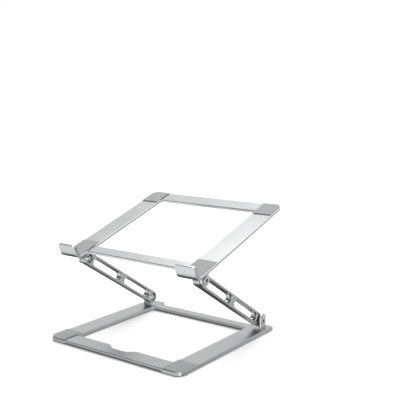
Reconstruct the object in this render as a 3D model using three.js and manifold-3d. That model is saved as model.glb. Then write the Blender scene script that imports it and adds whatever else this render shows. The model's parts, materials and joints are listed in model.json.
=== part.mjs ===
// Folding laptop stand: a flat open base, two slotted arms on friction hinges, and an open
// tray whose side bars bend up at the front into two hooks.
// Millimetres, +Z up, +X to the user's right, +Y away from the user.
import * as THREE from 'three';
import { mergeVertices } from 'three/addons/utils/BufferGeometryUtils.js';
import Module from 'manifold-3d';

const wasm = await Module();
wasm.setup();

// ---------------------------------------------------------------- driving dimensions

// Base frame
const baseWidth = 230;
const baseDepth = 220;
const baseTop = 6;               // top face above the table
const footProud = 0.8;           // the feet hold the bars this far off the table
const baseBarWidth = 29;
const frontBarDepth = 26;
const rearBarDepth = 17.5;
const rearBarRecess = 11.5;      // the side bars run this far past the rear bar
const crossBarThickness = 2.7;   // the front and rear bars are thinner than the side bars
const baseFrontRadius = 12;
const baseRearRadius = 1.5;
const baseWindowRadius = 3;
const scoopWidth = 50;           // finger scoop in the front bar's inner edge
const scoopDepth = 8.6;
const scoopSide = 15.4;          // width of each sloping side of the scoop
const scoopShoulder = 7;         // how gently the sides run in and out

// Arms
const armCentres = 165;          // lower pivot to upper pivot
const armHalfHeight = 9;         // also the radius of the round ends
const armThickness = 10.6;
const armAngle = 32.7;           // degrees above level, as the stand is set here
const slotHalfHeight = 5.5;
const slotEndMargin = 10.75;     // pivot to the near end of its slot
const slotBridge = 9.5;          // solid between the two slots

// Tray
const trayWiderBy = 6;           // the tray is this much wider than the base
const trayDepth = 196;           // front bar's front edge to the rear edge
const trayThickness = 4;
const trayBarWidth = 31;
const trayFrontBarDepth = 17;
const trayRearBarDepth = 24;
const trayRearRadius = 10;
const trayWindowRadius = 2.5;
const trayTilt = 17.8;           // degrees, rear edge up
const hookReach = 21;            // front bar's front edge to the hook's outer face
const hookHeight = 19;           // above the tray's top face
const hookBendRadius = 7;        // inside of the bend
const hookCornerRadius = 4;

// Hinges
const lowerPivotFromRear = 19.8; // base's rear edge to the lower pivot
const lowerArmGap = 3.2;         // round arm end to the base's top face
const upperArmGap = 3.6;         // round arm end to the tray's lower face
const upperPivotSetback = 7.1;   // front bar's front edge to the upper pivot
const earInset = 6.2;            // base's side to the outer face of the ears
const earThickness = 3;
const earChamfer = 0.4;
const baseEarAhead = 5.5;        // the base's ear from the pivot to its front edge
const baseEarBehind = 9.5;
const baseEarAbove = 9.5;
const baseEarCornerRadius = 6.5;
const trayEarRadius = 8.5;
const washerThickness = 1;
const washerRadius = 7.6;
const pinRadius = 3;
const pinHeadRadius = 5.4;
const pinHeadHeight = 1.8;
const pinHeadRim = 0.5;          // the head's sloping edge: height
const pinHeadSlope = 0.8;        // and width
const pinChamfer = 0.4;          // at the pin's end
const pinEndRecess = 0.4;        // the pin ends this far inside the arm's inner face
const pinSocketFlats = 4;        // hexagon socket across flats
const pinSocketDepth = 1.3;
const nutFlats = 10;
const nutThickness = 3.4;
const nutPocketDepth = 5.4;
const nutPocketClearance = 0.5;  // round the nut's corners
const nutChamfer = 0.3;
const springClearance = 0.7;     // round the spring in its pocket
const springThickness = 0.6;
const springCone = 0.4;

// Brackets and their screws
const footPlateThickness = 2.4;
const footPlateReach = 16;       // how far the foot plate runs inboard of the ear
const footPlateHalfLength = 10;
const trayFootFront = 8;         // foot plate ahead of the upper pivot
const trayFootRear = 17;         // foot plate behind the upper pivot
const footPlateCorner = 2;
const footPlateChamfer = 0.2;
const screwEdge = 4;             // screw centre to the end of its foot plate
const screwRadius = 1.5;
const screwHeadRadius = 2.8;
const screwLength = 4;
const screwSocketFlats = 2;
const screwSeat = 0.2;           // the screw's head starts this far above the plate's face

// Pads and feet
const basePadLength = 35;
const basePadThickness = 1;
const trayPadThickness = 1.2;
const trayRearPadLength = 33;
const trayFrontPadLength = 26;   // behind the front bar's front edge
const trayPadRise = 15;          // up the inside of the hook, above the tray's top face
const padInset = 0.5;
const padCorner = 1;
const padChamfer = 0.2;
const footLength = 42;
const footWidth = 15;
const footThickness = 1.3;
const footCorner = 4;
const footChamfer = 0.3;
const frontFootSetback = 18;
const rearFootSetback = 36;      // clear of the hinge bracket's foot plate

// Fits and finish
const edgeChamfer = 0.6;
const layGap = 0.1;              // between faces that lie on each other
const fitGap = 0.2;              // round a plate in its pocket
const runningGap = 0.15;         // pin radius to bore radius

// ---------------------------------------------------------------- worked-out places

const rad = THREE.MathUtils.degToRad;
const halfBase = baseWidth / 2;
const halfTray = (baseWidth + trayWiderBy) / 2;
const sideInner = halfBase - baseBarWidth;
const trayInner = halfTray - trayBarWidth;
const barBottom = footProud;
const rearBarRear = baseDepth - rearBarRecess;
const rearBarFront = rearBarRear - rearBarDepth;

const earOuter = halfBase - earInset;
const earInner = earOuter - earThickness;
const washerOuter = earInner - layGap;
const washerInner = washerOuter - washerThickness;
const armOuter = washerInner - layGap;
const armInner = armOuter - armThickness;
const pocketFloor = armInner + nutPocketDepth;
const boreRadius = pinRadius + runningGap;
const nutCircumradius = nutFlats / 2 / Math.cos(Math.PI / 6);
const nutPocketRadius = nutCircumradius + nutPocketClearance;

const lowerPivotY = baseDepth - lowerPivotFromRear;
const lowerPivotZ = baseTop + lowerArmGap + armHalfHeight;
const trayUnder = armHalfHeight + upperArmGap;
const trayTop = trayUnder + trayThickness;
const slotLength = (armCentres - 2 * slotEndMargin - slotBridge) / 2;

// The origin is on the table, under the middle of the stand's outline as it is set here.
const upperPivotY = lowerPivotY - armCentres * Math.cos(rad(armAngle));
const trayReach = trayDepth - upperPivotSetback;
const rearmostY = upperPivotY + trayReach * Math.cos(rad(trayTilt))
  - (trayUnder + edgeChamfer) * Math.sin(rad(trayTilt));
const originY = rearmostY / 2;

// ---------------------------------------------------------------- solids

function solidOf(geometry) {
  const bare = geometry.index ? geometry.toNonIndexed() : geometry.clone();
  bare.deleteAttribute('normal');
  bare.deleteAttribute('uv');
  const merged = mergeVertices(bare, 1e-4);
  const index = merged.index.array;
  const kept = [];
  for (let i = 0; i < index.length; i += 3) {
    const [a, b, c] = [index[i], index[i + 1], index[i + 2]];
    if (a !== b && b !== c && c !== a) kept.push(a, b, c);
  }
  return new wasm.Manifold(new wasm.Mesh({
    numProp: 3,
    vertProperties: new Float32Array(merged.attributes.position.array),
    triVerts: new Uint32Array(kept),
  }));
}

function geometryOf(solid) {
  const mesh = solid.getMesh();
  const geometry = new THREE.BufferGeometry();
  geometry.setAttribute('position', new THREE.BufferAttribute(new Float32Array(mesh.vertProperties), 3));
  geometry.setIndex(new THREE.BufferAttribute(new Uint32Array(mesh.triVerts), 1));
  return geometry;
}

function cut(body, ...tools) {
  return geometryOf(tools.reduce((left, tool) => left.subtract(solidOf(tool)), solidOf(body)));
}

function join(...pieces) {
  return geometryOf(pieces.map(solidOf).reduce((sum, piece) => sum.add(piece)));
}

function common(a, b) {
  return geometryOf(solidOf(a).intersect(solidOf(b)));
}

// Extrudes a shape drawn in X, Y from low to high in Z, with chamfered rims if asked.
function slab(shape, low, high, chamfer = 0, curveSegments = 4) {
  const geometry = new THREE.ExtrudeGeometry(shape, {
    depth: high - low - 2 * chamfer,
    curveSegments,
    bevelEnabled: chamfer > 0,
    bevelThickness: chamfer,
    bevelSize: chamfer,
    bevelOffset: -chamfer,
    bevelSegments: 1,
  });
  return geometry.translate(0, 0, low + chamfer);
}

// The same for a shape drawn in Y, Z, extruded from low to high in X.
function plateAcross(shape, low, high, chamfer = 0, curveSegments = 4) {
  const turn = new THREE.Matrix4().makeBasis(
    new THREE.Vector3(0, 1, 0), new THREE.Vector3(0, 0, 1), new THREE.Vector3(1, 0, 0));
  return slab(shape, low, high, chamfer, curveSegments).applyMatrix4(turn);
}

// Turns a profile of [radius, x] points about the X axis. The points run anticlockwise
// with x to the right and radius up, starting and ending on the axis or closing on themselves.
function turned(points, segments = 24) {
  const profile = points.map(([radius, x]) => new THREE.Vector2(radius, x));
  const geometry = new THREE.LatheGeometry(profile, segments);
  return geometry.rotateZ(-Math.PI / 2);
}

function rod(radius, low, high, segments = 24) {
  return turned([[0, low], [radius, low], [radius, high], [0, high]], segments);
}

function block(x0, x1, y0, y1, z0, z1) {
  return new THREE.BoxGeometry(x1 - x0, y1 - y0, z1 - z0)
    .translate((x0 + x1) / 2, (y0 + y1) / 2, (z0 + z1) / 2);
}

// A piece is drawn for the right side, and mirrored in X for the left.
function forSide(side, geometry) {
  if (side > 0) return geometry;
  const mirrored = geometryOf(solidOf(geometry));
  mirrored.scale(-1, 1, 1);
  const index = mirrored.index.array;
  for (let i = 0; i < index.length; i += 3) {
    [index[i + 1], index[i + 2]] = [index[i + 2], index[i + 1]];
  }
  return mirrored;
}

// A closed outline from corner points [x, y, radius], with round corners.
function outline(corners, Kind = THREE.Shape) {
  const path = new Kind();
  const count = corners.length;
  corners.forEach(([x, y, radius], i) => {
    const here = new THREE.Vector2(x, y);
    const before = new THREE.Vector2(...corners[(i + count - 1) % count]).sub(here).normalize();
    const after = new THREE.Vector2(...corners[(i + 1) % count]).sub(here).normalize();
    const turn = before.angleTo(after);
    const back = radius / Math.tan(turn / 2);
    const start = here.clone().addScaledVector(before, back);
    const end = here.clone().addScaledVector(after, back);
    if (i === 0) path.moveTo(start.x, start.y);
    else path.lineTo(start.x, start.y);
    if (radius > 0) {
      const centre = here.clone().addScaledVector(
        before.clone().add(after).normalize(), radius / Math.sin(turn / 2));
      const from = Math.atan2(start.y - centre.y, start.x - centre.x);
      const to = Math.atan2(end.y - centre.y, end.x - centre.x);
      path.absarc(centre.x, centre.y, radius, from, to, before.cross(after) > 0);
    }
  });
  path.closePath();
  return path;
}

function rectangle(x0, x1, y0, y1, radius, Kind = THREE.Shape) {
  return outline([[x0, y0, radius], [x1, y0, radius], [x1, y1, radius], [x0, y1, radius]], Kind);
}

// A bar with round ends along the first axis, centred on the second.
function stadium(from, to, radius, Kind = THREE.Shape) {
  const path = new Kind();
  path.absarc(to - radius, 0, radius, -Math.PI / 2, Math.PI / 2, false);
  path.absarc(from + radius, 0, radius, Math.PI / 2, 3 * Math.PI / 2, false);
  path.closePath();
  return path;
}

function hexagon(flats) {
  const shape = new THREE.Shape();
  const radius = flats / 2 / Math.cos(Math.PI / 6);
  for (let i = 0; i < 6; i += 1) {
    const angle = i * Math.PI / 3;
    const point = [radius * Math.cos(angle), radius * Math.sin(angle)];
    if (i === 0) shape.moveTo(...point);
    else shape.lineTo(...point);
  }
  shape.closePath();
  return shape;
}

// ---------------------------------------------------------------- materials

function finish(colour, roughness, metalness) {
  return () => new THREE.MeshStandardMaterial({ color: colour, roughness, metalness });
}

const aluminium = finish(0xb4b6b9, 0.38, 1);
const polished = finish(0xc6c8ca, 0.22, 1);
const steel = finish(0x8f9296, 0.3, 1);
const darkSteel = finish(0x55585c, 0.4, 1);
const silicone = finish(0x8c8e91, 0.8, 0);
const rubber = finish(0x2b2c2e, 0.9, 0);
const nylon = finish(0x303235, 0.6, 0);

function piece(name, geometry, material) {
  const mesh = new THREE.Mesh(geometry, material());
  mesh.name = name;
  return mesh;
}

// ---------------------------------------------------------------- base

function baseOutline() {
  const notchRadius = 2;
  return outline([
    [-halfBase, 0, baseFrontRadius],
    [halfBase, 0, baseFrontRadius],
    [halfBase, baseDepth, baseRearRadius],
    [sideInner, baseDepth, notchRadius],
    [sideInner, rearBarRear, notchRadius],
    [-sideInner, rearBarRear, notchRadius],
    [-sideInner, baseDepth, notchRadius],
    [-halfBase, baseDepth, baseRearRadius],
  ]);
}

// The window's front edge dips into the front bar as a shallow scoop for a finger.
function baseWindow() {
  const half = scoopWidth / 2;
  const floorHalf = half - scoopSide;
  const low = frontBarDepth - scoopDepth;
  const window = new THREE.Path();
  window.moveTo(-sideInner + baseWindowRadius, frontBarDepth);
  window.lineTo(-half, frontBarDepth);
  window.bezierCurveTo(
    -half + scoopShoulder, frontBarDepth, -floorHalf - scoopShoulder, low, -floorHalf, low);
  window.lineTo(floorHalf, low);
  window.bezierCurveTo(
    floorHalf + scoopShoulder, low, half - scoopShoulder, frontBarDepth, half, frontBarDepth);
  window.lineTo(sideInner - baseWindowRadius, frontBarDepth);
  window.absarc(sideInner - baseWindowRadius, frontBarDepth + baseWindowRadius,
    baseWindowRadius, -Math.PI / 2, 0, false);
  window.absarc(sideInner - baseWindowRadius, rearBarFront - baseWindowRadius,
    baseWindowRadius, 0, Math.PI / 2, false);
  window.absarc(-sideInner + baseWindowRadius, rearBarFront - baseWindowRadius,
    baseWindowRadius, Math.PI / 2, Math.PI, false);
  window.absarc(-sideInner + baseWindowRadius, frontBarDepth + baseWindowRadius,
    baseWindowRadius, Math.PI, 3 * Math.PI / 2, false);
  return window;
}

function footPlateOutline(grow) {
  return rectangle(
    earInner - footPlateReach - grow, earOuter + grow,
    lowerPivotY - footPlateHalfLength - grow, lowerPivotY + footPlateHalfLength + grow,
    footPlateCorner + grow);
}

function screwPlaces() {
  const x = (earInner - footPlateReach + earInner) / 2;
  const spread = footPlateHalfLength - screwEdge;
  return [[x, lowerPivotY - spread], [x, lowerPivotY + spread]];
}

function footCentreX() {
  return (halfBase + sideInner) / 2;
}

function footOutline(grow) {
  return rectangle(
    footCentreX() - footWidth / 2 - grow, footCentreX() + footWidth / 2 + grow,
    -footLength / 2 - grow, footLength / 2 + grow, footCorner + grow);
}

function footMiddles() {
  return {
    front: frontFootSetback + footLength / 2,
    rear: baseDepth - rearFootSetback - footLength / 2,
  };
}

function baseFrame() {
  const shape = baseOutline();
  shape.holes.push(baseWindow());
  const crossBottom = baseTop - crossBarThickness;
  const below = barBottom - 1;
  const cuts = [
    block(-sideInner, sideInner, -1, frontBarDepth + 1, below, crossBottom),
    block(-sideInner, sideInner, rearBarFront - 1, rearBarRear + 1, below, crossBottom),
  ];
  for (const side of [-1, 1]) {
    const pocketTop = barBottom + layGap + footPlateThickness + layGap;
    cuts.push(forSide(side, slab(footPlateOutline(fitGap), below, pocketTop)));
    cuts.push(forSide(side, block(
      earInner - fitGap, earOuter + fitGap,
      lowerPivotY - baseEarAhead - fitGap, lowerPivotY + baseEarBehind + fitGap,
      below, baseTop + 1)));
    for (const [x, y] of screwPlaces()) {
      const hole = rod(screwRadius + runningGap, 0, pocketTop + screwLength - 1, 16)
        .rotateY(-Math.PI / 2).translate(x, y, 0);
      cuts.push(forSide(side, common(hole, block(x - 3, x + 3, y - 3, y + 3, 0, baseTop - 0.6))));
    }
    for (const middle of Object.values(footMiddles())) {
      cuts.push(forSide(side, slab(footOutline(fitGap), below, footThickness + layGap)
        .translate(0, middle, 0)));
    }
  }
  return piece('base_frame', cut(slab(shape, barBottom, baseTop, edgeChamfer), ...cuts), aluminium);
}

function basePad(side, sideName) {
  const low = baseTop + layGap;
  const shape = outline([
    [sideInner + padInset, padInset, padCorner],
    [halfBase - padInset, padInset, baseFrontRadius - padInset],
    [halfBase - padInset, basePadLength, padCorner],
    [sideInner + padInset, basePadLength, padCorner],
  ]);
  return piece(`base_pad_${sideName}`,
    forSide(side, geometryOf(solidOf(slab(shape, low, low + basePadThickness, padChamfer)))), silicone);
}

function foot(side, name, middle) {
  const geometry = slab(footOutline(0), 0, footThickness, footChamfer).translate(0, middle, 0);
  return piece(name, forSide(side, geometryOf(solidOf(geometry))), rubber);
}

// An upright ear on a flat foot plate. The ear passes up through the bar from a pocket below.
function baseBracket(side, sideName) {
  const low = barBottom + layGap;
  const ear = outline([
    [lowerPivotY - baseEarAhead, low, 0],
    [lowerPivotY + baseEarBehind, low, 0],
    [lowerPivotY + baseEarBehind, lowerPivotZ + baseEarAbove, baseEarCornerRadius],
    [lowerPivotY - baseEarAhead, lowerPivotZ + baseEarAbove, baseEarCornerRadius],
  ]);
  const holes = screwPlaces().map(([x, y]) => countersink(low).translate(x, y, 0));
  const bore = rod(boreRadius, earInner - 1, earOuter + 1).translate(0, lowerPivotY, lowerPivotZ);
  const body = join(
    plateAcross(ear, earInner, earOuter, earChamfer, 8),
    slab(footPlateOutline(0), low, low + footPlateThickness, footPlateChamfer));
  return piece(`base_bracket_${sideName}`, forSide(side, cut(body, bore, ...holes)), steel);
}

// A hole for a countersunk screw whose head is at height low and points down.
function countersink(low) {
  const wide = screwHeadRadius + fitGap;
  const narrow = screwRadius + fitGap;
  const depth = screwHeadRadius - screwRadius;
  return turned([
    [0, low - 1], [wide, low - 1], [wide, low + screwSeat],
    [narrow, low + screwSeat + depth], [narrow, low + 2 * screwLength], [0, low + 2 * screwLength],
  ], 20).rotateY(-Math.PI / 2);
}

function countersunkScrew(name, side, x, y, low) {
  const depth = screwHeadRadius - screwRadius;
  const body = turned([
    [0, low + layGap], [screwHeadRadius, low + layGap], [screwHeadRadius, low + screwSeat],
    [screwRadius, low + screwSeat + depth], [screwRadius, low + screwLength], [0, low + screwLength],
  ], 20).rotateY(-Math.PI / 2);
  const socket = slab(hexagon(screwSocketFlats), low - 1, low + 1);
  return piece(name, forSide(side, cut(body, socket).translate(x, y, 0)), darkSteel);
}

// ---------------------------------------------------------------- arms

// Drawn with the lower pivot at the origin and the upper one at y = -armCentres.
function arm(side, sideName) {
  const shape = stadium(-armCentres - armHalfHeight, armHalfHeight, armHalfHeight);
  const slots = [-slotEndMargin, -slotEndMargin - slotLength - slotBridge];
  for (const near of slots) {
    shape.holes.push(stadium(near - slotLength, near, slotHalfHeight, THREE.Path));
  }
  const body = plateAcross(shape, armInner, armOuter, edgeChamfer, 8);
  const cuts = [0, -armCentres].flatMap((y) => [
    rod(boreRadius, armInner - 1, armOuter + 1).translate(0, y, 0),
    rod(nutPocketRadius, armInner - 1, pocketFloor).translate(0, y, 0),
  ]);
  return piece(`arm_${sideName}`, forSide(side, cut(body, ...cuts)), aluminium);
}

// ---------------------------------------------------------------- hinge hardware

// Each hinge: a headed pin through the ear, a friction washer, the arm, then a cone spring
// and a lock nut sunk in the arm's inner face. Drawn with the pivot on the X axis.
function hingeHardware(side, level, sideName) {
  const headFace = earOuter + layGap;
  const pinEnd = armInner + pinEndRecess;
  const headTop = headFace + pinHeadHeight;
  const pinBody = turned([
    [0, pinEnd], [pinRadius - pinChamfer, pinEnd], [pinRadius, pinEnd + pinChamfer],
    [pinRadius, headFace], [pinHeadRadius, headFace], [pinHeadRadius, headTop - pinHeadRim],
    [pinHeadRadius - pinHeadSlope, headTop], [0, headTop],
  ]);
  const socket = plateAcross(hexagon(pinSocketFlats), headTop - pinSocketDepth, headTop + 1);
  const washer = turned([
    [boreRadius, washerInner], [washerRadius, washerInner], [washerRadius, washerOuter],
    [boreRadius, washerOuter], [boreRadius, washerInner],
  ]);
  const springHigh = pocketFloor - layGap;
  const springLow = springHigh - springThickness - springCone;
  const springRadius = nutPocketRadius - springClearance;
  const spring = turned([
    [boreRadius, springLow], [springRadius, springLow + springCone],
    [springRadius, springHigh], [boreRadius, springHigh - springCone], [boreRadius, springLow],
  ]);
  const nutHigh = springLow - layGap;
  const nutBody = plateAcross(hexagon(nutFlats), nutHigh - nutThickness, nutHigh, nutChamfer);
  const nut = cut(nutBody, rod(boreRadius, armInner - 1, nutHigh + 1));
  const name = (part) => `${level}_${part}_${sideName}`;
  return [
    piece(name('pin'), forSide(side, cut(pinBody, socket)), steel),
    piece(name('friction_washer'), forSide(side, geometryOf(solidOf(washer))), nylon),
    piece(name('spring_washer'), forSide(side, geometryOf(solidOf(spring))), darkSteel),
    piece(name('lock_nut'), forSide(side, nut), darkSteel),
  ];
}

// ---------------------------------------------------------------- tray

// Drawn with the upper pivot at the origin and the tray level.
const trayFront = -upperPivotSetback;
const trayRear = trayReach;
const hookOuter = trayFront - hookReach;
const bendOutside = hookBendRadius + trayThickness;
const bendY = hookOuter + bendOutside;
const bendZ = trayTop + hookBendRadius;
const hookTop = trayTop + hookHeight;

function trayPlate() {
  const shape = outline([
    [-halfTray, bendY, 0],
    [-trayInner, bendY, 0],
    [-trayInner, trayFront, 2],
    [trayInner, trayFront, 2],
    [trayInner, bendY, 0],
    [halfTray, bendY, 0],
    [halfTray, trayRear, trayRearRadius],
    [-halfTray, trayRear, trayRearRadius],
  ]);
  shape.holes.push(rectangle(-trayInner, trayInner, trayFront + trayFrontBarDepth,
    trayRear - trayRearBarDepth, trayWindowRadius, THREE.Path));
  return slab(shape, trayUnder, trayTop, edgeChamfer);
}

// The side bar's end, bent up through a right angle into a hook.
function hook() {
  const lap = 5;
  const tipRadius = 1.2;
  const inner = hookOuter + trayThickness;
  const profile = new THREE.Shape();
  profile.moveTo(bendY + lap, trayUnder);
  profile.lineTo(bendY + lap, trayTop);
  profile.lineTo(bendY, trayTop);
  profile.absarc(bendY, bendZ, hookBendRadius, -Math.PI / 2, -Math.PI, true);
  profile.lineTo(inner, hookTop - tipRadius);
  profile.absarc(inner - tipRadius, hookTop - tipRadius, tipRadius, 0, Math.PI / 2, false);
  profile.absarc(hookOuter + tipRadius, hookTop - tipRadius, tipRadius, Math.PI / 2, Math.PI, false);
  profile.lineTo(hookOuter, bendZ);
  profile.absarc(bendY, bendZ, bendOutside, Math.PI, 3 * Math.PI / 2, false);
  profile.closePath();
  const bent = plateAcross(profile, trayInner, halfTray, edgeChamfer, 5);
  const front = outline([
    [trayInner - 1, trayUnder - 5, 0],
    [halfTray + 1, trayUnder - 5, 0],
    [halfTray + 1, bendZ, 0],
    [halfTray, bendZ, 0],
    [halfTray, hookTop, hookCornerRadius],
    [trayInner, hookTop, hookCornerRadius],
    [trayInner, bendZ, 0],
    [trayInner - 1, bendZ, 0],
  ]);
  const mask = slab(front, -(bendY + lap + 1), -(hookOuter - 1)).rotateX(Math.PI / 2);
  return common(bent, mask);
}

function trayFootOutline() {
  return rectangle(
    earInner - footPlateReach, earOuter, -trayFootFront, trayFootRear, footPlateCorner);
}

function trayScrewPlaces() {
  const x = (earInner - footPlateReach + earInner) / 2;
  return [[x, screwEdge - trayFootFront], [x, trayFootRear - screwEdge]];
}

function trayFrame() {
  const holes = [-1, 1].flatMap((side) => trayScrewPlaces().map(([x, y]) => {
    const depth = trayUnder - footPlateThickness + screwLength + 0.3;
    return forSide(side, rod(screwRadius + runningGap, 0, depth, 16)
      .rotateY(-Math.PI / 2).translate(x, y, 0));
  }));
  const body = join(trayPlate(), forSide(1, hook()), forSide(-1, hook()));
  return piece('tray_frame', cut(body, ...holes), polished);
}

function trayRearPad(side, sideName) {
  const low = trayTop + layGap;
  const shape = outline([
    [trayInner + padInset, trayRear - trayRearPadLength, padCorner],
    [halfTray - padInset, trayRear - trayRearPadLength, padCorner],
    [halfTray - padInset, trayRear - padInset, trayRearRadius - padInset],
    [trayInner + padInset, trayRear - padInset, padCorner],
  ]);
  return piece(`tray_pad_rear_${sideName}`,
    forSide(side, geometryOf(solidOf(slab(shape, low, low + trayPadThickness, padChamfer)))), silicone);
}

// Lies on the side bar and follows the bend up the inside of the hook.
function trayFrontPad(side, sideName) {
  const outer = hookBendRadius - layGap;
  const inner = outer - trayPadThickness;
  const back = trayFront + trayFrontPadLength;
  const low = trayTop + layGap;
  const profile = new THREE.Shape();
  profile.moveTo(back, low);
  profile.lineTo(back, low + trayPadThickness);
  profile.lineTo(bendY, low + trayPadThickness);
  profile.absarc(bendY, bendZ, inner, -Math.PI / 2, -Math.PI, true);
  profile.lineTo(bendY - inner, trayTop + trayPadRise);
  profile.lineTo(bendY - outer, trayTop + trayPadRise);
  profile.lineTo(bendY - outer, bendZ);
  profile.absarc(bendY, bendZ, outer, Math.PI, 3 * Math.PI / 2, false);
  profile.closePath();
  const geometry = plateAcross(profile, trayInner + padInset, halfTray - padInset, padChamfer, 5);
  return piece(`tray_pad_front_${sideName}`,
    forSide(side, geometryOf(solidOf(geometry))), silicone);
}

// A foot plate under the side bar with an ear hanging down outside the arm's end.
function trayBracket(side, sideName) {
  const high = trayUnder - layGap;
  const low = high - footPlateThickness;
  const ear = new THREE.Shape();
  ear.moveTo(trayEarRadius, high);
  ear.lineTo(-trayEarRadius, high);
  ear.lineTo(-trayEarRadius, 0);
  ear.absarc(0, 0, trayEarRadius, Math.PI, 2 * Math.PI, false);
  ear.closePath();
  const bore = rod(boreRadius, earInner - 1, earOuter + 1);
  const holes = trayScrewPlaces().map(([x, y]) => countersink(low).translate(x, y, 0));
  const body = join(
    plateAcross(ear, earInner, earOuter, earChamfer, 8),
    slab(trayFootOutline(), low, high, footPlateChamfer));
  return piece(`tray_bracket_${sideName}`, forSide(side, cut(body, bore, ...holes)), steel);
}

// ---------------------------------------------------------------- assembly

const stand = new THREE.Group();
const lowerHinge = new THREE.Group();
const upperHinge = new THREE.Group();
const arms = new THREE.Group();
const tray = new THREE.Group();

stand.position.set(0, -originY, 0);
lowerHinge.position.set(0, lowerPivotY, lowerPivotZ);
arms.position.copy(lowerHinge.position);
arms.rotation.x = -rad(armAngle);
upperHinge.position.set(0, -armCentres, 0);
upperHinge.rotation.x = rad(armAngle + trayTilt);
stand.add(lowerHinge, arms);
arms.add(upperHinge);
upperHinge.add(tray);

stand.add(baseFrame());
tray.add(trayFrame());
for (const [side, sideName] of [[-1, 'left'], [1, 'right']]) {
  stand.add(basePad(side, sideName), baseBracket(side, sideName));
  for (const [end, middle] of Object.entries(footMiddles())) {
    stand.add(foot(side, `foot_${end}_${sideName}`, middle));
  }
  screwPlaces().forEach(([x, y], i) => stand.add(countersunkScrew(
    `base_screw_${['front', 'rear'][i]}_${sideName}`, side, x, y, barBottom + layGap)));
  lowerHinge.add(...hingeHardware(side, 'lower', sideName));
  arms.add(arm(side, sideName));
  upperHinge.add(...hingeHardware(side, 'upper', sideName));
  tray.add(trayFrontPad(side, sideName), trayRearPad(side, sideName), trayBracket(side, sideName));
  const footLow = trayUnder - layGap - footPlateThickness;
  trayScrewPlaces().forEach(([x, y], i) => tray.add(countersunkScrew(
    `tray_screw_${['front', 'rear'][i]}_${sideName}`, side, x, y, footLow)));
}

export default stand;
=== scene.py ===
# %% [markdown]
# # A folding laptop stand in metal and silicone
#
# The stand is a flat open base, two slotted arms and an open tray with two hooks, joined by
# four friction hinges. Its sizes, places and joints come from a finished engineering model.
# Here that model gets its surfaces: eased and polished edges, blasted and anodised metal,
# soft silicone pads, and the small hardware of the hinges.

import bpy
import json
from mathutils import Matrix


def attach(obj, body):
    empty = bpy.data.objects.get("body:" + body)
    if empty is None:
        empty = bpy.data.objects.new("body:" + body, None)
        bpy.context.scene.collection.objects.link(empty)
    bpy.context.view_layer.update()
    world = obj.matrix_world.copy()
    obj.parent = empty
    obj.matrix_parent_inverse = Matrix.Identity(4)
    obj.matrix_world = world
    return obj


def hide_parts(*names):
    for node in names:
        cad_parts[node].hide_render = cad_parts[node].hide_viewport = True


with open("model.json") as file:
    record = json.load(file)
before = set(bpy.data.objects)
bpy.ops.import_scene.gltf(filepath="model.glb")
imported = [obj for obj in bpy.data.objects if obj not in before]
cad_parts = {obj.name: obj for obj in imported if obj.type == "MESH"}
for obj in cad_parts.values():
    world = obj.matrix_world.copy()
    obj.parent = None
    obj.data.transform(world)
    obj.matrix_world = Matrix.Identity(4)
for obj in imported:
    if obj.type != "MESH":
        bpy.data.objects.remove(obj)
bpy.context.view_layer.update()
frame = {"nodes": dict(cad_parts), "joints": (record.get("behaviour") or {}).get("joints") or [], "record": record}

# %% Tools used in every step
import json
import math

import bmesh
import bpy
from mathutils import Matrix, Vector

MM = 0.001

# %% [markdown]
# ## Where the hinges are
#
# Two lines across the stand matter for almost every piece: the lower hinge line at the base
# and the upper one under the tray. They are read from the joints, together with the angles
# that the arms and the tray have in this setting. A matrix for each lets a piece be drawn
# level and straight, and then be put in its tilted place.

# %% Hinge lines and the two tilted frames
joints = {joint["name"]: joint for joint in frame["joints"]}
lower_hinge = Vector(joints["arm_lift"]["pos_m"])
upper_hinge = Vector(joints["tray_tilt"]["pos_m"])
arm_angle = math.radians(-joints["arm_lift"]["range_deg"][0])
tray_angle = math.radians(-joints["tray_tilt"]["range_deg"][0])

arm_frame = Matrix.Translation(lower_hinge) @ Matrix.Rotation(-arm_angle, 4, "X")
upper_frame = Matrix.Translation(upper_hinge) @ Matrix.Rotation(tray_angle, 4, "X")
lower_frame = Matrix.Translation(lower_hinge)
level_frame = Matrix.Identity(4)
print("arms", round(math.degrees(arm_angle), 1), "deg, tray", round(math.degrees(tray_angle), 1), "deg")

# %% [markdown]
# ## The camera
#
# A product picture like this is taken from a little above the table, to the right of the
# front. A longer lens keeps the bars nearly parallel. The camera only needs a place, a
# direction and a focal length, so it is set up first and never moved again.

# %% Camera
def aim_camera(place, azimuth, elevation, focal_length):
    data = bpy.data.cameras.new("camera")
    data.sensor_width = 36
    data.lens = focal_length
    data.clip_end = 50
    camera = bpy.data.objects.new("camera", data)
    camera.location = place
    camera.rotation_euler = (math.radians(90 - elevation), 0, math.radians(azimuth))
    bpy.context.scene.collection.objects.link(camera)
    bpy.context.scene.camera = camera
    return camera


camera = aim_camera((0.6179, -0.7669, 0.3418), azimuth=36.13, elevation=8.62, focal_length=64.5)
print("camera at", tuple(round(v, 3) for v in camera.location))

# %% [markdown]
# ## Surround
#
# Blasted metal shows its surroundings as a soft blur, so the surroundings are the lighting.
# Lamps alone would leave metal black between their reflections. A smooth surround is used
# instead: bright above and behind, less bright in front, and dark below and behind, which
# keeps undersides and thin edges dark and gives each bar a crisp outline. Below and in
# front it is brightest, as a white table is for the upright lips of the hooks. The part
# below the table is only for mirror reflections: light that has touched paper or rubber
# finds it black, or it would creep into the shadows under the bars.
#
# A dark card, high in front on the left, puts the dark band into round ends and slots that
# tells the eye that they are polished metal. A small bright card, low and to the right of
# the camera, is the white glint on the base's round front corner.

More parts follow.
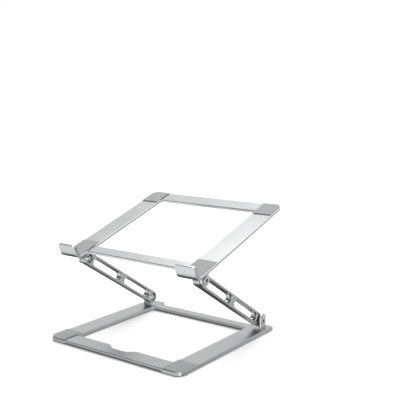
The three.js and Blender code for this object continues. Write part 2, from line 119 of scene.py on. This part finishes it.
# %% World light
def light_world(overhead, behind, in_front, below_behind, below_in_front, cards):
    """A smooth surround. Each number is the brightness seen in that direction. A card is
    (direction, half angle in degrees, brightness)."""
    world = bpy.data.worlds.new("studio")
    bpy.context.scene.world = world
    world.use_nodes = True
    nodes, links = world.node_tree.nodes, world.node_tree.links
    nodes.clear()
    coordinates = nodes.new("ShaderNodeTexCoord")
    split = nodes.new("ShaderNodeSeparateXYZ")
    links.new(coordinates.outputs["Generated"], split.inputs[0])

    def fade(value, start, end):
        node = nodes.new("ShaderNodeMapRange")
        node.interpolation_type = "SMOOTHSTEP"
        node.inputs["From Min"].default_value = start
        node.inputs["From Max"].default_value = end
        links.new(value, node.inputs["Value"])
        return node.outputs["Result"]

    def mix(amount, low, high):
        node = nodes.new("ShaderNodeMix")
        links.new(amount, node.inputs["Factor"])
        for socket, value in ((node.inputs["A"], low), (node.inputs["B"], high)):
            if isinstance(value, float):
                socket.default_value = value
            else:
                links.new(value, socket)
        return node.outputs["Result"]

    depth, height = split.outputs["Y"], split.outputs["Z"]
    level = mix(fade(depth, -0.6, 0.6), in_front, behind)
    above = mix(fade(height, 0.3, 0.9), level, overhead)
    below = mix(fade(depth, -0.5, 0.0), below_in_front, below_behind)
    path = nodes.new("ShaderNodeLightPath")
    below = mix(path.outputs["Diffuse Depth"], below, 0.0)
    strength = mix(fade(height, -0.62, -0.25), below, above)
    for direction, half_angle, brightness in cards:
        towards = nodes.new("ShaderNodeVectorMath")
        towards.operation = "DOT_PRODUCT"
        towards.inputs[1].default_value = Vector(direction).normalized()
        links.new(coordinates.outputs["Generated"], towards.inputs[0])
        edge, middle = (math.cos(math.radians(half_angle * share)) for share in (1.2, 0.75))
        strength = mix(fade(towards.outputs["Value"], edge, middle), strength, brightness)
    background = nodes.new("ShaderNodeBackground")
    links.new(strength, background.inputs["Strength"])
    background.inputs["Color"].default_value = (1, 1, 1, 1)
    output = nodes.new("ShaderNodeOutputWorld")
    links.new(background.outputs[0], output.inputs["Surface"])
    return world


dark_card = ((-0.58, -0.47, 0.66), 25.0, 0.16)
bright_card = ((0.82, -0.55, -0.15), 14.0, 4.0)
light_world(overhead=1.5, behind=1.02, in_front=0.74, below_behind=0.1, below_in_front=2.1,
            cards=(dark_card, bright_card))
bpy.context.scene.view_settings.view_transform = "Standard"
print("world lit")

# %% [markdown]
# ## Floor and lamps
#
# The table is a sheet of white paper. It could be given gloss, but a pale picture table
# shows no reflection, so it is matt. It is also left out of mirror reflections, because it
# would light every underside from below and flatten the bars. Two soft lamps add the gentle
# shadow at the feet and the bright spots on the pins.

# %% Floor and lamps
def lay_floor(half_size):
    mesh = bpy.data.meshes.new("floor")
    corners = [(-half_size, -half_size, 0), (half_size, -half_size, 0),
               (half_size, half_size, 0), (-half_size, half_size, 0)]
    mesh.from_pydata(corners, [], [(0, 1, 2, 3)])
    paper = bpy.data.materials.new("white_paper")
    paper.use_nodes = True
    surface = paper.node_tree.nodes["Principled BSDF"]
    surface.inputs["Base Color"].default_value = (0.93, 0.93, 0.93, 1)
    surface.inputs["Roughness"].default_value = 0.9
    surface.inputs["Specular IOR Level"].default_value = 0.0
    mesh.materials.append(paper)
    floor = bpy.data.objects.new("floor", mesh)
    bpy.context.scene.collection.objects.link(floor)
    floor.visible_glossy = False
    return floor


lay_floor(half_size=40)


def soft_lamp(name, place, target, size, power):
    data = bpy.data.lights.new(name, "AREA")
    data.shape = "DISK"
    data.size = size
    data.energy = power
    lamp = bpy.data.objects.new(name, data)
    lamp.location = place
    lamp.rotation_euler = (Vector(target) - Vector(place)).to_track_quat("-Z", "Y").to_euler()
    bpy.context.scene.collection.objects.link(lamp)
    return lamp


soft_lamp("lamp_above", (-0.5, 0.5, 1.6), (0, 0, 0.1), size=0.9, power=9)
soft_lamp("lamp_right", (1.5, -0.2, 0.7), (0, 0, 0.1), size=0.4, power=2)
print("floor and lamps placed")

# %% [markdown]
# ## Shader groups
#
# Three effects come back in several materials, so each is a node group with its own inputs.
# They could be copied into every material, but then a change would have to be made in
# each. A group puts out plain values, and each material decides what they do.

# %% A small helper to build groups
def new_group(name, inputs, output):
    group = bpy.data.node_groups.new(name, "ShaderNodeTree")
    for socket, value in inputs.items():
        made = group.interface.new_socket(name=socket, in_out="INPUT", socket_type="NodeSocketFloat")
        made.default_value = value
    group.interface.new_socket(name=output, in_out="OUTPUT", socket_type="NodeSocketFloat")
    entry = group.nodes.new("NodeGroupInput")
    leave = group.nodes.new("NodeGroupOutput")
    return group, entry, leave


def calculate(group, operation, first, second):
    node = group.nodes.new("ShaderNodeMath")
    node.operation = operation
    for socket, value in zip(node.inputs, (first, second)):
        if isinstance(value, (int, float)):
            socket.default_value = value
        else:
            group.links.new(value, socket)
    return node.outputs[0]


def noise(group, scale, detail, roughness=0.5):
    coordinates = group.nodes.new("ShaderNodeTexCoord")
    texture = group.nodes.new("ShaderNodeTexNoise")
    texture.inputs["Detail"].default_value = detail
    texture.inputs["Roughness"].default_value = roughness
    group.links.new(coordinates.outputs["Object"], texture.inputs["Vector"])
    group.links.new(scale, texture.inputs["Scale"])
    return texture.outputs["Fac"]


print("group helpers ready")

# %% [markdown]
# ### Fine grain
#
# Bead blasting leaves metal covered in tiny pits, and a blasted mould gives silicone the
# same skin. Noise with several octaves is enough, since no single pit is ever seen.

# %% Fine grain
grain_group, entry, leave = new_group(
    "fine_grain", {"Grains per metre": 2600.0, "Depth": 1.0}, "Height")
pits = noise(grain_group, entry.outputs["Grains per metre"], detail=3, roughness=0.65)
grain_group.links.new(
    calculate(grain_group, "MULTIPLY", pits, entry.outputs["Depth"]), leave.inputs["Height"])
print("made", grain_group.name)

# %% [markdown]
# ### Handling marks
#
# Fingers leave soft patches, a few centimetres across, where the shine is a touch different.
# They are slow noise around zero, so a material can add them to its colour or roughness.

# %% Handling marks
marks_group, entry, leave = new_group(
    "handling_marks", {"Marks per metre": 22.0, "Strength": 1.0}, "Mark")
patches = noise(marks_group, entry.outputs["Marks per metre"], detail=5, roughness=0.6)
centred = calculate(marks_group, "SUBTRACT", patches, 0.5)
marks_group.links.new(
    calculate(marks_group, "MULTIPLY", centred, entry.outputs["Strength"]), leave.inputs["Mark"])
print("made", marks_group.name)

# %% [markdown]
# ### Lathe lines
#
# A turning tool leaves fine rings on the face of a pin. Their height is a sine of the
# distance from the hinge's axis, so the group is told where that axis runs.

# %% Lathe lines
lathe_group, entry, leave = new_group(
    "lathe_lines", {"Axis depth": 0.0, "Axis height": 0.0, "Rings per metre": 3500.0}, "Ring")
coordinates = lathe_group.nodes.new("ShaderNodeTexCoord")
split = lathe_group.nodes.new("ShaderNodeSeparateXYZ")
lathe_group.links.new(coordinates.outputs["Object"], split.inputs[0])
depthwise = calculate(lathe_group, "SUBTRACT", split.outputs["Y"], entry.outputs["Axis depth"])
upward = calculate(lathe_group, "SUBTRACT", split.outputs["Z"], entry.outputs["Axis height"])
squared = calculate(
    lathe_group, "ADD",
    calculate(lathe_group, "MULTIPLY", depthwise, depthwise),
    calculate(lathe_group, "MULTIPLY", upward, upward))
radius = calculate(lathe_group, "SQRT", squared, 0)
turns = calculate(lathe_group, "MULTIPLY", radius, entry.outputs["Rings per metre"])
wave = calculate(lathe_group, "SINE", calculate(lathe_group, "MULTIPLY", turns, 2 * math.pi), 0)
lathe_group.links.new(wave, leave.inputs["Ring"])
print("made", lathe_group.name)

# %% [markdown]
# ## The recipe for a finish
#
# Every finish starts from the same recipe: a base colour and a roughness that drift a
# little with the handling marks, and a bump from the grain. What makes one aluminium and
# another silicone is the numbers. A turned part also gets its lathe lines.

# %% The recipe for a finish
MARK_SPREAD = 0.3
SHINE_DRIFT = 0.12
LATHE_DEPTH = 0.0025


def place_group(nodes, group, **values):
    node = nodes.new("ShaderNodeGroup")
    node.node_tree = group
    for name, value in values.items():
        node.inputs[name.replace("_", " ").capitalize()].default_value = value
    return node


def drifting(nodes, links, mark, middle, share):
    """A value that moves around the middle one, up and down by a share of it."""
    spread = nodes.new("ShaderNodeMapRange")
    spread.inputs["From Min"].default_value = -MARK_SPREAD
    spread.inputs["From Max"].default_value = MARK_SPREAD
    spread.inputs["To Min"].default_value = middle * (1 - share)
    spread.inputs["To Max"].default_value = middle * (1 + share)
    links.new(mark, spread.inputs["Value"])
    return spread.outputs["Result"]


def finish(name, colour, metallic, roughness, grain, depth, drift, turned_about=None):
    material = bpy.data.materials.new(name)
    material.use_nodes = True
    nodes, links = material.node_tree.nodes, material.node_tree.links
    surface = nodes["Principled BSDF"]
    surface.inputs["Metallic"].default_value = metallic

    mark = place_group(nodes, marks_group).outputs["Mark"]
    tinted = nodes.new("ShaderNodeVectorMath")
    tinted.operation = "SCALE"
    tinted.inputs[0].default_value = colour
    links.new(drifting(nodes, links, mark, 1.0, drift), tinted.inputs["Scale"])
    links.new(tinted.outputs["Vector"], surface.inputs["Base Color"])
    links.new(drifting(nodes, links, mark, roughness, SHINE_DRIFT), surface.inputs["Roughness"])

    normal = None
    heights = [(place_group(nodes, grain_group, grains_per_metre=grain).outputs["Height"], depth)]
    if turned_about:
        rings = place_group(nodes, lathe_group, axis_depth=turned_about.y, axis_height=turned_about.z)
        heights.append((rings.outputs["Ring"], LATHE_DEPTH))
    for height, distance in heights:
        bump = nodes.new("ShaderNodeBump")
        bump.inputs["Strength"].default_value = 1.0
        bump.inputs["Distance"].default_value = distance * MM
        links.new(height, bump.inputs["Height"])
        if normal:
            links.new(normal, bump.inputs["Normal"])
        normal = bump.outputs["Normal"]
    links.new(normal, surface.inputs["Normal"])
    return material


print("recipe ready")

# %% [markdown]
# ### Aluminium
#
# The base, arms and tray are cut from plate, bead blasted and anodised silver: a mid grey
# metal with a soft blur. Where a cutter has gone over the plate afterwards, the blasting is
# gone. So the tray's slanted rim is a bright, nearly polished line, and the long slots in
# the arms have glossier walls that show the light and dark around them in bands.

# %% Aluminium finishes
anodised_silver = finish(
    "anodised_silver", (0.385, 0.388, 0.395), 1.0, 0.29, grain=2600, depth=0.008, drift=0.03)
polished_edge = finish(
    "polished_edge", (0.72, 0.722, 0.73), 1.0, 0.16, grain=1200, depth=0.002, drift=0.02)
milled_wall = finish(
    "milled_wall", (0.44, 0.442, 0.448), 1.0, 0.1, grain=900, depth=0.003, drift=0.03)
print("made", anodised_silver.name, polished_edge.name, milled_wall.name)

# %% [markdown]
# ### Steel
#
# The brackets are satin steel, a little lighter than the anodised bars. The pins are
# turned, so they get the lathe lines about their own hinge. Nuts are bright plated, and
# springs and screws are dark. The same dark steel is painted into the pins' hexagon
# sockets as shade.

# %% Steel finishes
satin_steel = finish(
    "satin_steel", (0.5, 0.5, 0.505), 1.0, 0.24, grain=1800, depth=0.006, drift=0.05)
turned_steel = {
    level: finish(f"turned_steel_{level}", (0.46, 0.46, 0.465), 1.0, 0.3, grain=1800, depth=0.002,
                  drift=0.05, turned_about=hinge)
    for level, hinge in (("lower", lower_hinge), ("upper", upper_hinge))}
plated_steel = finish(
    "plated_steel", (0.82, 0.82, 0.825), 1.0, 0.12, grain=1500, depth=0.003, drift=0.05)
dark_steel = finish(
    "dark_steel", (0.2, 0.2, 0.205), 1.0, 0.36, grain=1800, depth=0.01, drift=0.08)
print("made", satin_steel.name, plated_steel.name, dark_steel.name, *turned_steel)

# %% [markdown]
# ### Silicone, rubber and nylon
#
# The pads are grey silicone with a fine dry skin. The feet are black rubber, rougher and
# with more uneven shine. The friction washers and the ring in each lock nut are nylon,
# which is smoother and keeps a small highlight.

# %% Soft finishes
grey_silicone = finish(
    "grey_silicone", (0.265, 0.267, 0.272), 0.0, 0.62, grain=4200, depth=0.03, drift=0.05)
black_rubber = finish(
    "black_rubber", (0.02, 0.02, 0.021), 0.0, 0.75, grain=3600, depth=0.04, drift=0.15)
black_nylon = finish(
    "black_nylon", (0.03, 0.03, 0.032), 0.0, 0.42, grain=2200, depth=0.01, drift=0.1)
print("made", grey_silicone.name, black_rubber.name, black_nylon.name)

# %% [markdown]
# ## Putting a piece in its place
#
# Each finished mesh takes the place of one node of the engineering model. The record says
# which body the node rides on, so that is looked up there.

# %% Helper that places a piece
bodies = frame["record"]["behaviour"]["bodies"]


def place_piece(mesh, node, *materials):
    mesh.name = node + "_body"
    piece = bpy.data.objects.new(mesh.name, mesh)
    bpy.context.scene.collection.objects.link(piece)
    for material in materials:
        mesh.materials.append(material)
    body = next(name for name, members in bodies.items() if node in members)
    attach(piece, body)
    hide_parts(node)
    return piece


def span(node, matrix):
    """The lowest and highest corner of a node, measured in a tilted frame, in mm."""
    back = matrix.inverted()
    places = [back @ vertex.co / MM for vertex in frame["nodes"][node].data.vertices]
    return [Vector(pick(place[i] for place in places) for i in range(3)) for pick in (min, max)]


# %% [markdown]
# ## Easing the edges of a machined piece
#
# The engineering model has true sizes, but its triangles stand apart and its edges are
# razor sharp. A real bar is never sharp: each edge is broken by a file or a tumbler, and
# that thin rounded line is what catches the light. So a piece is copied, its triangles are
# sewn together and merged into flat faces, and a Bevel modifier rounds what is still sharp.

# %% Helpers that sew and ease
SEW_WITHIN = 0.002
FLAT_WITHIN = 0.6
SHARP_ABOVE = 32
EASED_ABOVE = 30
CUT_EDGE = 0.12
SOFT_EDGE = 0.16


def sewn_mesh(node):
    """A copy of a node's mesh with its vertices joined and its flat faces merged."""
    source = frame["nodes"][node].data
    sewn = bmesh.new()
    vertices = [sewn.verts.new(vertex.co) for vertex in source.vertices]
    for polygon in source.polygons:
        sewn.faces.new([vertices[i] for i in polygon.vertices])
    bmesh.ops.remove_doubles(sewn, verts=sewn.verts, dist=SEW_WITHIN * MM)
    bmesh.ops.dissolve_limit(
        sewn, angle_limit=math.radians(FLAT_WITHIN), verts=sewn.verts, edges=sewn.edges)
    bmesh.ops.recalc_face_normals(sewn, faces=sewn.faces)
    mesh = bpy.data.meshes.new(node)
    sewn.to_mesh(mesh)
    sewn.free()
    return mesh


def ease_edges(piece, width, segments=2):
    piece.data.shade_smooth()
    piece.data.set_sharp_from_angle(angle=math.radians(SHARP_ABOVE))
    bevel = piece.modifiers.new("eased_edges", "BEVEL")
    bevel.width = width * MM
    bevel.segments = segments
    bevel.limit_method = "ANGLE"
    bevel.angle_limit = math.radians(EASED_ABOVE)
    bevel.use_clamp_overlap = True
    bevel.harden_normals = True
    return piece


def eased_piece(node, width, material, second_material=None, gets_second=None, segments=2):
    mesh = sewn_mesh(node)
    piece = place_piece(mesh, node, *filter(None, (material, second_material)))
    if gets_second:
        for polygon in mesh.polygons:
            polygon.material_index = int(gets_second(mesh, polygon))
    return ease_edges(piece, width, segments)


print("sewing tools ready")

# %% [markdown]
# ## Base
#
# The base is one piece of plate: two broad side bars, a thin front bar with a scoop for a
# finger, and a thin rear bar. It could be drawn again from its outline, but the engineering
# model already has every pocket of its underside, so it is sewn and eased. Its rims are
# blasted and anodised like its faces.

# %% Base
base_body = eased_piece("base_frame", CUT_EDGE, anodised_silver)
print("base faces:", len(base_body.data.polygons))

# %% [markdown]
# ## Tray
#
# The tray is cut the same way, and the front ends of its side bars are bent up into hooks.
# After anodising, the slanted rims of the plate are cut bright again. A rim face is known
# by being narrow and by sloping halfway between the tray's top and its sides.

# %% Tray
RIM_WIDTH = 0.95
RIM_SLOPE = 0.6
LEANING = 0.92


def rims_in(matrix):
    turn = matrix.to_3x3().inverted()

    def is_rim(mesh, polygon):
        corners = [mesh.vertices[i].co for i in polygon.vertices]
        longest = max((b - a).length for a, b in zip(corners, corners[1:] + corners[:1]))
        narrow = polygon.area / longest < RIM_WIDTH * MM
        leaning = turn @ polygon.normal
        return narrow and RIM_SLOPE < abs(leaning.z) < LEANING

    return is_rim


tray_body = eased_piece(
    "tray_frame", CUT_EDGE, anodised_silver, polished_edge, rims_in(upper_frame))
print("tray faces:", len(tray_body.data.polygons))

# %% [markdown]
# ## Arms
#
# Each arm is a bar with round ends and two long slots, and only the slots are milled after
# blasting. A slot's wall is known by how near it lies to the line that joins the two hinges:
# the outer walls are half the bar's height away. The round pockets for the nuts lie on that
# line too, so the ends of the bar are left out.

# %% Arms
ARM_LENGTH = (upper_hinge - lower_hinge).length
ARM_HALF_HEIGHT = span("arm_left", arm_frame)[1].z * MM
WALL_LEAN = 0.1
NEAR_THE_LINE = 0.75 * ARM_HALF_HEIGHT


def in_a_slot(mesh, polygon):
    back = arm_frame.inverted()
    centre, normal = back @ polygon.center, back.to_3x3() @ polygon.normal
    along = min(max(centre.y, -ARM_LENGTH), 0)
    from_line = math.hypot(centre.y - along, centre.z)
    in_a_pocket = min(-along, along + ARM_LENGTH) < ARM_HALF_HEIGHT
    return abs(normal.x) < WALL_LEAN and from_line < NEAR_THE_LINE and not in_a_pocket


arms = [eased_piece(f"arm_{side}", CUT_EDGE, anodised_silver, milled_wall, in_a_slot)
        for side in ("left", "right")]
print("arm faces:", [len(arm.data.polygons) for arm in arms])

# %% [markdown]
# ## Brackets
#
# A bracket is a stamped ear on a flat foot. The feet are hidden in the base's pockets or
# under the tray. Stamped edges are softer than cut ones, so they are eased a little more.

# %% Brackets
for side in ("left", "right"):
    for level in ("base", "tray"):
        eased_piece(f"{level}_bracket_{side}", SOFT_EDGE, satin_steel, segments=3)
print("brackets placed")

# %% [markdown]
# ## Silicone pads
#
# Six moulded pads keep the laptop from sliding: two on the base's front corners, two on the
# tray's rear corners and two that run up inside the hooks. A moulded rim is round, so more
# segments are spent on it.

# %% Silicone pads
for side in ("left", "right"):
    for name in ("base_pad", "tray_pad_front", "tray_pad_rear"):
        eased_piece(f"{name}_{side}", SOFT_EDGE, grey_silicone, segments=3)
print("pads placed")

# %% [markdown]
# ## Skinning a stack of rings
#
# Pins, nuts, washers, screws and feet are all round or nearly round. They could be joined
# from cylinders with booleans, but a cleaner mesh comes from a stack of rings that all
# have the same number of points: a circle can then run into a hexagon with plain
# four-sided faces. Each ring is a list of points, and the skin joins each to the next.

# %% Rings and their skin
POINTS = 72
ANGLES = [2 * math.pi * i / POINTS for i in range(POINTS)]


def circle(radius, along):
    return [Vector((along, radius * math.cos(a), radius * math.sin(a))) for a in ANGLES]


def hexagon(flats, along, limit=math.inf):
    """Six sides. A limit cuts the corners off on a circle, as the chamfer of a nut does."""
    ring = []
    for a in ANGLES:
        reach = flats / 2 / math.cos(a % (math.pi / 3) - math.pi / 6)
        reach = min(reach, limit)
        ring.append(Vector((along, reach * math.cos(a), reach * math.sin(a))))
    return ring


def skin(name, rings, matrix, hollow=False, second=()):
    """Joins the rings. A hollow piece runs on from the last ring to the first. The steps
    listed in second, counted from 0, get the second material. The end cap is the last."""
    body = bmesh.new()
    rows = [[body.verts.new(matrix @ (point * MM)) for point in ring] for ring in rings]
    steps = len(rows) if hollow else len(rows) - 1
    for step in range(steps):
        row, after = rows[step], rows[(step + 1) % len(rows)]
        for i in range(POINTS):
            j = (i + 1) % POINTS
            face = body.faces.new((row[i], row[j], after[j], after[i]))
            face.material_index = int(step in second)
    if not hollow:
        body.faces.new(rows[0])
        body.faces.new(rows[-1]).material_index = int(steps in second)
    bmesh.ops.recalc_face_normals(body, faces=body.faces)
    mesh = bpy.data.meshes.new(name)
    body.to_mesh(mesh)
    body.free()
    return mesh


def hinges():
    """Every hinge: its level, its side, the sign of its side and its frame."""
    for level, matrix in (("lower", lower_frame), ("upper", upper_frame)):
        for side, sign in (("left", -1), ("right", 1)):
            yield level, side, sign, matrix


def outward_span(node, sign, matrix):
    """Where a hinge part begins and ends, counted outward from the stand's middle, in mm."""
    low, high = span(node, matrix)
    return sorted((sign * low.x, sign * high.x))


print("rings have", POINTS, "points")

# %% [markdown]
# ## Pins
#
# A hinge pin is turned from steel: a flat head with a hexagon socket outside the ear, a
# plain shank through the ear, washer and arm, and a thread for the nut. Rings make the
# grooves of the thread as plain grooves, which look the same as a helix at this size. The
# socket gets the darker steel as painted shade, for the shadow deep inside the recess.

# %% Pins
PIN_RADIUS = 3.0
PIN_TAPER = 0.7
HEAD_HEIGHT = 1.8
HEAD_UNDER_EDGE = 0.15
HEAD_EDGE = [(0.0, 0.55), (0.2, 0.22), (0.55, 0.0)]  # inset from the rim, depth below the face
SOCKET_FLATS = 4.0
SOCKET_DEPTH = 1.3
SOCKET_FLARE = 0.5
SOCKET_TIP = 0.3
SOCKET_RINGS = 4
THREAD_START = 0.6
THREAD_TURNS = 5
THREAD_PITCH = 1.0
THREAD_DEPTH = 0.45
CREST_WIDTH = 0.2
CREST_TO_ROOT = 0.55
SHANK_START = 6.2


def pin_mesh(node, sign, matrix):
    end, top = outward_span(node, sign, matrix)
    head_radius = span(node, matrix)[1].z
    head_face = top - HEAD_HEIGHT
    rings = [circle(PIN_RADIUS - PIN_TAPER, sign * end)]
    for turn in range(THREAD_TURNS):
        crest = end + THREAD_START + turn * THREAD_PITCH
        rings += [
            circle(PIN_RADIUS, sign * crest),
            circle(PIN_RADIUS, sign * (crest + CREST_WIDTH)),
            circle(PIN_RADIUS - THREAD_DEPTH, sign * (crest + CREST_TO_ROOT)),
        ]
    rings += [
        circle(PIN_RADIUS, sign * (end + SHANK_START)),
        circle(PIN_RADIUS, sign * head_face),
        circle(head_radius - HEAD_UNDER_EDGE, sign * head_face),
        circle(head_radius, sign * (head_face + HEAD_UNDER_EDGE)),
    ]
    rings += [circle(head_radius - inset, sign * (top - depth)) for inset, depth in HEAD_EDGE]
    rings += [
        hexagon(SOCKET_FLATS + SOCKET_FLARE, sign * top),
        hexagon(SOCKET_FLATS, sign * (top - SOCKET_FLARE / 2)),
        hexagon(SOCKET_FLATS, sign * (top - SOCKET_DEPTH)),
        circle(SOCKET_TIP, sign * (top - SOCKET_DEPTH - SOCKET_TIP)),
    ]
    # The socket's rings get the dark steel as painted shade, for the shadow deep in the recess.
    socket_shade_steps = range(len(rings) - SOCKET_RINGS, len(rings))
    return skin(node, rings, matrix, second=socket_shade_steps)


for level, side, sign, matrix in hinges():
    node = f"{level}_pin_{side}"
    pin = place_piece(pin_mesh(node, sign, matrix), node, turned_steel[level], dark_steel)
    ease_edges(pin, width=0.03)
print("pins turned")

# %% [markdown]
# ## Lock nuts
#
# A lock nut is a hexagon with cut corners and a round collar that holds a nylon ring. It
# sits in the arm's pocket with the collar outward, so the collar and the ring are what is
# seen round the end of the pin. The nylon is the flat step from the collar to the bore.

# %% Lock nuts
BORE_CLEARANCE = 0.15
BORE_FLARE = 0.2
NUT_BEVEL = 0.35
NUT_CORNER_CUT = 0.15
NUT_FACE_INSET = 0.1
COLLAR_HEIGHT = 1.1
COLLAR_FOOT_INSET = 0.3
COLLAR_STEPS = [(0.35, 0.3), (0.7, 0.0), (1.05, 0.1), (1.15, 0.3)]  # inset, height above its end
NYLON_HEIGHT = 0.3


def nut_mesh(node, sign, matrix):
    low, high = outward_span(node, sign, matrix)
    flats = 2 * span(node, matrix)[1].z
    bore = PIN_RADIUS + BORE_CLEARANCE
    corner = flats / 2 / math.cos(math.pi / 6) - NUT_CORNER_CUT
    face = flats / 2 - NUT_FACE_INSET
    shoulder = low + COLLAR_HEIGHT
    rings = [
        circle(bore + BORE_FLARE, sign * high),
        hexagon(flats, sign * high, limit=face),
        hexagon(flats, sign * (high - NUT_BEVEL), limit=corner),
        hexagon(flats, sign * (shoulder + NUT_BEVEL), limit=corner),
        hexagon(flats, sign * shoulder, limit=face),
        circle(flats / 2 - COLLAR_FOOT_INSET, sign * shoulder),
    ]
    rings += [circle(flats / 2 - inset, sign * (low + height)) for inset, height in COLLAR_STEPS]
    nylon_step = len(rings) - 1
    rings += [
        circle(bore, sign * (low + NYLON_HEIGHT)),
        circle(bore, sign * (high - BORE_FLARE)),
    ]
    return skin(node, rings, matrix, hollow=True, second=(nylon_step,))


for level, side, sign, matrix in hinges():
    node = f"{level}_lock_nut_{side}"
    nut = place_piece(nut_mesh(node, sign, matrix), node, plated_steel, black_nylon)
    ease_edges(nut, width=0.04)
print("nuts made")

# %% [markdown]
# ## Washers and springs
#
# The friction washer is a flat nylon ring between the ear and the arm. The spring is a
# shallow cone of dark steel under the nut, which keeps the washer pressed. Each is a closed
# loop of rings round a plain section.

# %% Washers and springs
WASHER_EDGE = 0.15
SPRING_CONE = 0.4


def washer_mesh(node, sign, matrix):
    low, high = outward_span(node, sign, matrix)
    outer, bore = span(node, matrix)[1].z, PIN_RADIUS + BORE_CLEARANCE
    rings = [
        circle(bore, sign * low), circle(outer - WASHER_EDGE, sign * low),
        circle(outer, sign * (low + WASHER_EDGE)), circle(outer, sign * (high - WASHER_EDGE)),
        circle(outer - WASHER_EDGE, sign * high), circle(bore, sign * high),
    ]
    return skin(node, rings, matrix, hollow=True)


def spring_mesh(node, sign, matrix):
    low, high = outward_span(node, sign, matrix)
    outer, bore = span(node, matrix)[1].z, PIN_RADIUS + BORE_CLEARANCE
    rings = [
        circle(bore, sign * low), circle(outer, sign * (low + SPRING_CONE)),
        circle(outer, sign * high), circle(bore, sign * (high - SPRING_CONE)),
    ]
    return skin(node, rings, matrix, hollow=True)


for level, side, sign, matrix in hinges():
    node = f"{level}_friction_washer_{side}"
    ease_edges(place_piece(washer_mesh(node, sign, matrix), node, black_nylon), width=0.03)
    node = f"{level}_spring_washer_{side}"
    ease_edges(place_piece(spring_mesh(node, sign, matrix), node, dark_steel), width=0.04)
print("washers and springs made")

# %% [markdown]
# ## Screws
#
# Two small countersunk screws hold each bracket. Their heads point down, so they are seen
# only from below. A screw stands along its own upright axis, so the rings, which stack
# along X, are turned to stack along Z.

# %% Screws
SCREW_RADIUS = 1.5
SCREW_SOCKET_FLATS = 2.0
SCREW_SOCKET_DEPTH = 0.9
SCREW_SOCKET_TIP = 0.2
SCREW_SOCKET_FLARE = 0.25
SCREW_FLARE_DEPTH = 0.12
SCREW_FACE_INSET = 0.12
SCREW_RIM = 0.1
SCREW_TAPER = 0.4


def screw_mesh(node, tilted):
    low, high = span(node, tilted)
    centre = (low + high) / 2
    upright = Matrix.Rotation(math.radians(-90), 4, "Y")
    matrix = tilted @ Matrix.Translation(Vector((centre.x, centre.y, low.z)) * MM) @ upright
    length, head_radius = high.z - low.z, (high.x - low.x) / 2
    cone = head_radius - SCREW_RADIUS
    rings = [
        circle(SCREW_SOCKET_TIP, SCREW_SOCKET_DEPTH + SCREW_SOCKET_TIP),
        hexagon(SCREW_SOCKET_FLATS, SCREW_SOCKET_DEPTH),
        hexagon(SCREW_SOCKET_FLATS, SCREW_FLARE_DEPTH),
        hexagon(SCREW_SOCKET_FLATS + SCREW_SOCKET_FLARE, 0),
        circle(head_radius - SCREW_FACE_INSET, 0),
        circle(head_radius, SCREW_RIM),
        circle(SCREW_RADIUS, SCREW_RIM + cone),
        circle(SCREW_RADIUS, length - SCREW_TAPER),
        circle(SCREW_RADIUS - SCREW_TAPER, length),
    ]
    return skin(node, rings, matrix)


for level, tilted in (("base", level_frame), ("tray", upper_frame)):
    for side in ("left", "right"):
        for end in ("front", "rear"):
            node = f"{level}_screw_{end}_{side}"
            ease_edges(place_piece(screw_mesh(node, tilted), node, dark_steel), width=0.02)
print("screws made")

# %% [markdown]
# ## Feet
#
# Four flat rubber feet sit in shallow pockets under the side bars. A moulded foot has a
# round rim and a groove inside it, so that its edge can give and grip. The rings here are
# rectangles with round corners, stacked upward, each a little inside the last.

# %% Feet
FOOT_CORNER = 4.0
SMALLEST_CORNER = 0.6
FOOT_STEPS = [  # inset from the outline, height above the table
    (0.0, 0.4), (0.12, 0.12), (0.4, 0.0), (2.4, 0.0), (2.6, 0.35), (3.9, 0.35), (4.1, 0.0)]


def rounded_rectangle(half_x, half_y, corner, height):
    ring = []
    for a in ANGLES:
        x, y = math.cos(a), math.sin(a)
        ring.append(Vector((
            math.copysign(half_x - corner, x) + corner * x,
            math.copysign(half_y - corner, y) + corner * y,
            height)))
    return ring


def foot_mesh(node):
    low, high = span(node, level_frame)
    half = (high - low) / 2
    centre = Vector(((low.x + high.x) / 2, (low.y + high.y) / 2, 0))
    rings = []
    for inset, height in [(0.0, high.z)] + FOOT_STEPS:
        corner = max(FOOT_CORNER - inset, SMALLEST_CORNER)
        rings.append(rounded_rectangle(half.x - inset, half.y - inset, corner, height))
    return skin(node, rings, Matrix.Translation(centre * MM))


for side in ("left", "right"):
    for end in ("front", "rear"):
        node = f"foot_{end}_{side}"
        ease_edges(place_piece(foot_mesh(node), node, black_rubber), width=0.05)
print("feet made")

# %% [markdown]
# ## End


print("finished")
